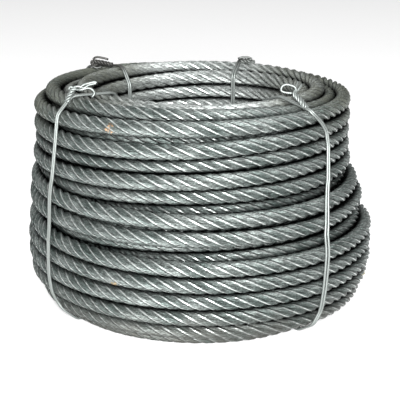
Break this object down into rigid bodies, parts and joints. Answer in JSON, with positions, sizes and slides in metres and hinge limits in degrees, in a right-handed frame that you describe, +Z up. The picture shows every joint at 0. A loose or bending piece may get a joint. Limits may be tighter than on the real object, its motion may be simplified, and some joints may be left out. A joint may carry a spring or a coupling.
{
  "type": "coil of wire rope",
  "caption": "Upright coil of stranded steel wire rope with an open bore, bound through the bore by doubled tie wires with twisted ends.",
  "frame": {"origin": "on the floor, in the middle of the bore", "axes": "+Z up along the bore's axis; -Y is the front, the side that faces the camera in the picture; +X is to its right"},
  "size_m": [0.2284, 0.2279, 0.1546],
  "materials": {
    "galvanised_rope": "dull galvanised six-strand rope, grey-green in the grooves, bright along the crests of the strands",
    "tie_wire": "smooth soft annealed binding wire with a satin zinc sheen"
  },
  "bodies": {
    "root": {"rope_coil": "galvanised_rope", "tie_wire_front_left": "tie_wire", "tie_wire_front_right": "tie_wire", "tie_wire_back_left": "tie_wire", "tie_wire_back_right": "tie_wire"}
  },
  "joints": []
}
